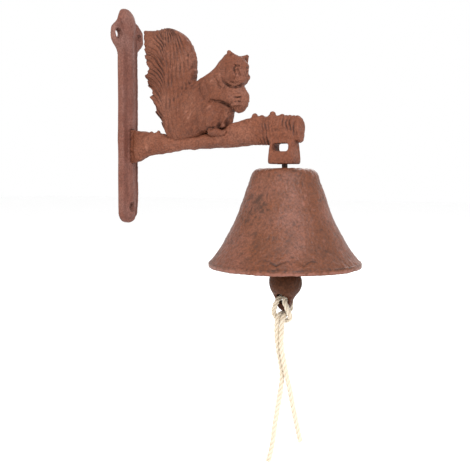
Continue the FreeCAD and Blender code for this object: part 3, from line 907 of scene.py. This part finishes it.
# where the stain is and how big, as the angle round the bell and the height above the rim
STAIN_AT = (-1.75, 42)
STAIN_SIZE = (0.3, 11)
# how dark the painted shade inside the bell is, on the scale of the hollows
INSIDE_SHADE = 0.4
# up to this height above the rim the skin is calmer and stays inside the bell's diameter
LIP_HEIGHT = 3.2
LIP_ROOM = 0.02
# the crown is left even up to this radius
EVEN_R = 12
LEAVES_AT = math.radians(-50)
LEAVES = 9
LEAF_FOOT = 5.4
LEAF_RISE = 3.0


def bell_profile():
    """The closed outline that is turned, as radius and height, and how many points are outside."""
    outside = spline_points(BELL_OUTSIDE, False, 7)
    top = CROWN_Z - RIM_Z
    inner_top = top - CROWN_THICKNESS
    inside = [(RIM_RADIUS - BELL_WALL, 0.2), (RIM_RADIUS - BELL_WALL - 0.9, 2.4)]
    inside += [(r - BELL_WALL * 0.97, z - BELL_WALL * 0.25) for r, z in BELL_OUTSIDE[3:12]]
    inside += [(17.4, inner_top - 1.6), (14.0, inner_top), (11.0, inner_top)]
    inside = spline_points(inside, False, 6)[::-1]
    lip = [(RIM_RADIUS - BELL_WALL + 0.3, 0.0), (RIM_RADIUS - 1.7, 0.0), (RIM_RADIUS - 0.4, 0.05)]
    crown = [(9.0, top), (6.0, top), (BELL_BORE_R + 0.3, top), (BELL_BORE_R, top - 0.3)]
    throat = [(BELL_BORE_R, inner_top + 0.3), (BELL_BORE_R + 0.3, inner_top), (6.0, inner_top)]
    return np.array([*outside, *crown, *throat, *inside, *lip]), len(outside)


def leaf_relief(angle, height, p):
    """Two low sprays of leaves just above the lip, front and back: how far they rise, and their shade."""
    turn = np.mod(angle - LEAVES_AT + math.pi / 2, math.pi) - math.pi / 2
    spray = step(np.abs(turn), 0.66, 0.4) * (0.8 + 0.5 * noise(p, 6, 5.5))
    scallop = height - LEAF_FOOT - LEAF_RISE * np.abs(np.sin(turn * LEAVES))
    leaf = step(scallop, 0.5, -0.4)
    vein = bell_curve(np.sin(turn * LEAVES + 0.35 * height), 0.3)
    vein = vein * step(height, 9.5, 7.0) * step(height, LIP_HEIGHT, 4.4)
    outline = bell_curve(scallop - 0.5, 0.45)
    return spray * (0.45 * leaf + 0.25 * vein), spray * 0.6 * outline


def bell_shade(p, angle, height, leaf_shade):
    """How dark the outside is: a fine speckle, one stain, painted shade along the leaves' outline, a painted
    highlight on the lip and a painted shade line above it.
    """
    stain = bell_curve(angle - STAIN_AT[0], STAIN_SIZE[0]) * bell_curve(height - STAIN_AT[1], STAIN_SIZE[1])
    speckle = 0.42 * noise(p, 1.6, 3.0) + 0.2 * noise(p, 4.5, 2.0)
    # painted highlight along the lip, and a painted shade line where the lip ends
    lip_highlight = 0.5 * bell_curve(height - 1.2, 1.0)
    dark_line = 0.3 * bell_curve(height - LIP_HEIGHT, 0.6)
    return 0.08 - speckle + 0.42 * stain + leaf_shade - lip_highlight + dark_line


def make_bell():
    profile, outer_count = bell_profile()
    count = len(profile)
    turns = np.arange(TURNS)[:, None] * 2 * math.pi / TURNS
    r, h = profile.T

    def swept(radius, rise):
        """The profile's values swept round the axis, as x, y and z."""
        around = np.broadcast_arrays(np.cos(turns) * radius, np.sin(turns) * radius, rise)
        return np.stack(around, axis=-1).reshape(-1, 3)

    tangent = np.roll(profile, -1, axis=0) - np.roll(profile, 1, axis=0)
    tangent /= np.linalg.norm(tangent, axis=1, keepdims=True)
    normals = f32(swept(tangent[:, 1], -tangent[:, 0]))
    verts = f32(swept(r, h) + (BELL_X, 0, RIM_Z))
    push = 0.25 * noise(verts, 15, 1.0) + 0.12 * noise(verts, 4.5, 2.0) + 0.24 * noise(verts, 1.6, 3.0)
    height = verts[:, 2] - RIM_Z
    angle = np.arctan2(verts[:, 1], verts[:, 0] - BELL_X)
    outer = np.tile(np.arange(count) < outer_count, TURNS)
    leaves, leaf_shade = leaf_relief(angle, height, verts)
    push = push + leaves * outer
    push = np.where(np.tile(r < EVEN_R, TURNS), 0, push)
    radius_room = np.tile(RIM_RADIUS - LIP_ROOM - r, TURNS)
    push = np.where((height < LIP_HEIGHT) & outer, np.minimum(push, radius_room) * 0.5, push)
    verts = verts + normals * push[:, None]
    # painted shade inside the bell; outside, the speckle, stain and painted marks of bell_shade
    hollow = np.where(outer, bell_shade(verts, angle, height, leaf_shade), INSIDE_SHADE)
    faces = sheet_quads(TURNS, count)
    mesh_piece("bell_casting", verts, faces, BELL_IRON, "bell", "bell", hollow)


# ------------ hanger, link and clapper

ROD_R = 2.0
EYE_R = 4.5
EYE_Z = -116.0
COLLAR_R = 4.0
COLLAR_HEIGHT = 2.4
WASHER_R = 6.5
WASHER_THICKNESS = 1.2
LINK_R = 6.0
LINK_WIRE_R = 1.1
LINK_Z = -123.25
CLAPPER_EYE_Z = -130.4
CLAPPER_EYE_R = 4.2
CLAPPER_WIRE_R = 1.8
BALL_R = 11.35
BALL_Z = RIM_Z - 11.0
CORD_EYE_Z = RIM_Z - 21.9
CORD_EYE_R = 4.0
BALL_OFFSET = 0.9
TONGUE_HALF = 3.2
TONGUE_ROUNDING = 1.3
# the left side of the clapper's flat tongue, from its foot to its top, as x and z from the cord's eye
TONGUE_SIDE = [
    (0, -8.6), (-2.8, -7.3), (-4.3, -5.2), (-5.2, -3.2), (-5.7, -1.2), (-6.9, 1.0), (-7.9, 3.4), (-9.5, 7.0),
    (-6.0, 12.0), (0, 13.0),
]


def disc(p, radius, low, high, rounding):
    """A flat disc about the bell's axis."""
    side = np.hypot(p[:, 0] - BELL_X, p[:, 1]) - radius
    return smooth_max(side, np.abs(p[:, 2] - (low + high) / 2) - (high - low) / 2, rounding)


def make_hanger():
    collar_top = node_box("crown_washer")[0][2]

    def rod(p):
        head = smooth_max(ball(p, (BELL_X, 0, ROD_HEAD_Z), HEAD_R), p[:, 2] - ROD_TOP, 0.5)
        shank = capsule(p, (BELL_X, 0, ROD_HEAD_Z), (BELL_X, 0, EYE_Z + EYE_R), ROD_R, ROD_R)
        collar = disc(p, COLLAR_R, collar_top - COLLAR_HEIGHT, collar_top, 0.5)
        eye = torus(p, (BELL_X, 0, EYE_Z), EYE_R, ROD_R, 1)
        return smooth_min(smooth_min(head, shank, 0.3), smooth_min(collar, eye, 0.6), 0.3)

    def washer(p):
        ring = disc(p, WASHER_R, collar_top, collar_top + WASHER_THICKNESS, 0.3)
        return np.maximum(ring, ROD_R - np.hypot(p[:, 0] - BELL_X, p[:, 1]))

    def link(p):
        body = torus(p, (BELL_X, 0, LINK_Z), LINK_R, LINK_WIRE_R, 0)
        seam = bell_curve(p[:, 2] - LINK_Z, 0.25) * (p[:, 1] > 0)
        return body + 0.25 * seam

    for name, field, node, body, cell in (("hanger_rod_forged", rod, "hanger_rod", "hanger", 0.3),
                                          ("crown_washer_disc", washer, "crown_washer", "hanger", 0.22),
                                          ("clapper_link_ring", link, "clapper_link", "link", 0.22)):
        low, high = node_box(node)
        cast_piece(name, field, low - 1, high + 1, cell, HANGER_STEEL, body, node)


def make_clapper():
    tongue = Outline(TONGUE_SIDE + [(-x, z) for x, z in reversed(TONGUE_SIDE)][1:-1])

    def field(p):
        x, y, z = p.T
        bob = ball(p, (BELL_X + BALL_OFFSET, 0, BALL_Z), BALL_R)
        bob = bob - 0.3 * noise(p, 7.5, 6.6) - 0.12 * noise(p, 3.0, 2.2)
        edge = tongue.distance(x - BELL_X, z - CORD_EYE_Z)
        flat = rounded_meet(edge, np.abs(y) - TONGUE_HALF, TONGUE_ROUNDING)
        stem = capsule(p, (BELL_X, 0, BALL_Z), (BELL_X, 0, CLAPPER_EYE_Z - CLAPPER_EYE_R), 4.1, 2.1)
        eye = torus(p, (BELL_X, 0, CLAPPER_EYE_Z), CLAPPER_EYE_R, CLAPPER_WIRE_R, 1)
        body = joined(bob, (flat, 1.5), (stem, 2.0), (eye, 0.8))
        from_cord_eye = np.hypot(x - BELL_X, z - CORD_EYE_Z)
        body = smooth_max(body, CORD_EYE_R - from_cord_eye, 0.4)
        from_link_eye = np.hypot(x - BELL_X, z - CLAPPER_EYE_Z)
        return body - cast_skin(p, 0.08) * step(from_link_eye, 6, 8) * step(from_cord_eye, 4.4, 6)

    low, high = node_box("clapper")
    cast_piece("clapper_casting", field, low - 1, high + 1, 0.42,
               CLAPPER_IRON, "clapper", "clapper")


# ------------ cord


# points of the cord's route are (x, y, z) from the middle of the clapper's cord eye
def hitch_route(sign):
    """Half of the cow hitch, -1 or 1, from the middle of its bight to where the tail hangs clear."""
    return [
        (0, -1.2, -15.2), (3.0 * sign, -1.2, -15.2), (6.0 * sign, -2.7, -12.9), (5.9 * sign, -5.6, -8.4),
        (1.95 * sign, -6.3, 0.6), (1.95 * sign, 6.1, 0.6), (1.95 * sign, 5.8, -11.1),
    ]


LEFT_TAIL = [
    (-1.95, -6.3, -10.8), (-2.9, -6.6, -21.6), (-2.7, -5.4, -31.9), (-1.2, -3.9, -42.2),
    (-0.2, -2.9, -52.5), (-1.1, -3.1, -62.7), (-3.5, -3.8, -76.5), (-5.5, -4.4, -90.2),
    (-7.0, -4.9, -103.9), (-9.4, -5.9, -113.5),
]
RIGHT_TAIL = [
    (1.95, -6.3, -10.8), (1.2, -7.0, -21.6), (1.1, -7.3, -31.9), (2.4, -6.2, -42.2),
    (3.9, -4.6, -52.5), (5.4, -2.3, -62.7), (7.1, -0.1, -76.5), (9.1, 2.0, -90.2),
    (10.7, 3.4, -99.1),
]
STRANDS = 3
STRAND_R = 0.89
STRAND_OFFSET = 0.96
PITCH = 11.5
# the yarns in a strand: how many, how deep their grooves are, and how they turn against the strands
YARNS = 5
YARN_DEPTH = 0.045
YARN_TURN = -2.2
YARN_START = 0.3
SIDES = 14
CORD_STEP = 0.4


def nurbs_line(name, route):
    """Points in metres along the route's own NURBS spline."""
    curve = bpy.data.curves.new(name, "CURVE")
    curve.dimensions = "3D"
    spline = curve.splines.new("NURBS")
    spline.points.add(len(route) - 1)
    for point, (x, y, z) in zip(spline.points, route):
        point.co = ((BELL_X + x) * MM, y * MM, (CORD_EYE_Z + z) * MM, 1.0)
    spline.order_u = 3
    spline.use_endpoint_u = True
    spline.resolution_u = 24
    holder = bpy.data.objects.new(name, curve)
    line = bpy.data.meshes.new_from_object(holder)
    points = np.array([v.co for v in line.vertices])
    bpy.data.objects.remove(holder)
    bpy.data.curves.remove(curve)
    bpy.data.meshes.remove(line)
    return points


def evenly(points, spacing):
    """The same line as points at even spacing."""
    run = np.r_[0, np.cumsum(np.linalg.norm(np.diff(points, axis=0), axis=1))]
    at = np.linspace(0, run[-1], int(round(run[-1] / spacing)) + 1)
    return np.stack([np.interp(at, run, points[:, k]) for k in range(3)], axis=1)


def normals_along(points):
    """Two normals at each point of a line, carried along it without twist."""
    tangents = np.gradient(points, axis=0)
    tangents /= np.linalg.norm(tangents, axis=1, keepdims=True)
    first = np.cross(tangents[0], (0, 0, 1.0))
    first /= np.linalg.norm(first)
    normals = [first]
    for t in tangents[1:]:
        n = normals[-1] - t * (normals[-1] @ t)
        normals.append(n / np.linalg.norm(n))
    normals = np.array(normals)
    return normals, np.cross(tangents, normals)


def strand_tube(centre, twist):
    """A closed tube with fine yarn ridges wound round it, as vertices and quads."""
    n, b = normals_along(centre)
    angles = np.arange(SIDES) * 2 * math.pi / SIDES
    turn = angles[None, :] + twist[:, None]
    r = STRAND_R * (1 + YARN_DEPTH * np.cos(YARNS * angles)[None, :])
    ring = np.cos(turn)[..., None] * n[:, None] + np.sin(turn)[..., None] * b[:, None]
    verts = centre[:, None] + r[..., None] * ring
    rows = len(centre)
    # the rings run the other way round than the bell's outline does, so the quads are turned over
    quads = np.roll(sheet_quads(rows, SIDES, False)[:, ::-1], 1, axis=1)
    caps = []
    extra = []
    for row, flip in ((0, True), (rows - 1, False)):
        hub = rows * SIDES + len(extra)
        extra.append(centre[row])
        for k in range(0, SIDES, 2):
            a, b2, c = (row * SIDES + (k + s) % SIDES for s in (0, 1, 2))
            caps.append((hub, c, b2, a) if flip else (hub, a, b2, c))
    verts = np.concatenate([verts.reshape(-1, 3), np.array(extra)])
    return verts, np.concatenate([quads, np.array(caps)])


def make_cords():
    lines = {}
    for side, sign, tail in (("left", -1, LEFT_TAIL), ("right", 1, RIGHT_TAIL)):
        lines[side] = evenly(nurbs_line("route_" + side, hitch_route(sign) + tail) / MM, CORD_STEP)
    whole = np.concatenate([lines["left"][::-1], lines["right"][1:]])
    split = len(lines["left"]) - 1
    run = np.r_[0, np.cumsum(np.linalg.norm(np.diff(whole, axis=0), axis=1))]
    n, b = normals_along(whole)
    for side in lines:
        part = slice(0, split + 1) if side == "left" else slice(split, len(whole))
        verts, faces, hollow = [], [], []
        base = 0
        for k in range(STRANDS):
            phase = 2 * math.pi * (run / PITCH + k / STRANDS)
            wander = STRAND_OFFSET + 0.05 * np.sin(run / 3.7 + k)
            centre = whole + wander[:, None] * (np.cos(phase)[:, None] * n + np.sin(phase)[:, None] * b)
            centre = centre[part]
            v, f = strand_tube(centre, YARN_TURN * phase[part] + YARN_START)
            verts.append(v)
            faces.append(f + base)
            base += len(v)
            # painted shade between the strands: the nearer a strand's surface lies to the cord's middle, the
            # darker the cotton
            middle = np.repeat(whole[part], SIDES, axis=0)
            middle = np.concatenate([middle, whole[part][[0, -1]]])
            hollow.append(np.clip(1.55 - np.linalg.norm(v - middle, axis=1), 0, 1))
        piece = mesh_piece("cord_" + side + "_strands", np.concatenate(verts), np.concatenate(faces), COTTON,
                           "clapper", "cord_" + side, np.concatenate(hollow))
        path = whole[part] * MM
        if side == "left":
            path = path[::-1]
        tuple(path[0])


# ------------ room, light and camera

# where the camera stands in metres, which way it looks in degrees, and its lens in millimetres
CAMERA_AT = Vector((0.3483, -0.4328, -0.1106))
AZIMUTH = 29.93
LOOK_DOWN = 1.37
LENS = 53.47
HORIZON_SHIFT = 0.085
# in metres: how far the floor is below the cord's end, and half its width
FLOOR_DROP = 0.02
FLOOR_HALF = 6
FLOOR_GREY = 0.98
FLOOR_CLOUD = 0.96
LIT_POINT = Vector((0.1, 0, -0.1))
# (name, place and size in metres, power in watts, colour)
LIGHTS = [
    ("key", (1.1, -1.0, 0.9), 0.8, 29, (0.95, 0.96, 1.0)),
    ("fill", (-0.9, -1.2, 0.4), 1.0, 7, (1.0, 0.84, 0.64)),
    ("back", (-0.3, 1.3, 0.7), 1.0, 8, (1, 1, 1)),
]


def add_camera():
    camera = bpy.data.cameras.new("camera")
    camera.lens = LENS
    camera.shift_y = -HORIZON_SHIFT
    holder = in_scene("camera", camera)
    holder.location = CAMERA_AT
    holder.rotation_euler = (math.radians(90 - LOOK_DOWN), 0, math.radians(AZIMUTH))
    bpy.context.scene.camera = holder


def add_floor():
    floor_z = cad_box[0][2] - FLOOR_DROP
    corners = [(x * FLOOR_HALF, y * FLOOR_HALF, floor_z) for x, y in ((-1, -1), (1, -1), (1, 1), (-1, 1))]
    mesh = bpy.data.meshes.new("floor")
    mesh.from_pydata(corners, [], [(0, 1, 2, 3)])
    mesh.materials.append(plain_paint("pale_floor", FLOOR_GREY, FLOOR_CLOUD))
    in_scene("floor", mesh)


def add_sky():
    world = bpy.data.worlds.new("studio")
    world.use_nodes = True
    world.node_tree.nodes["Background"].inputs["Color"].default_value = (1, 1, 1, 1)
    bpy.context.scene.world = world


def add_light(name, place, size, power, colour):
    """A soft square lamp that faces the middle of the object."""
    light = bpy.data.lights.new(name, "AREA")
    light.color = colour
    light.shape = "SQUARE"
    light.size = size
    light.energy = power
    lamp = in_scene(name, light)
    lamp.location = place
    lamp.rotation_euler = (LIT_POINT - Vector(place)).to_track_quat("-Z", "Y").to_euler()


add_camera()
add_floor()
add_sky()
for light_values in LIGHTS:
    add_light(*light_values)
make_cords()
make_wall_plate()
make_branch()
make_squirrel()
make_bell()
make_hanger()
make_clapper()
bpy.context.scene.view_settings.view_transform = "Standard"
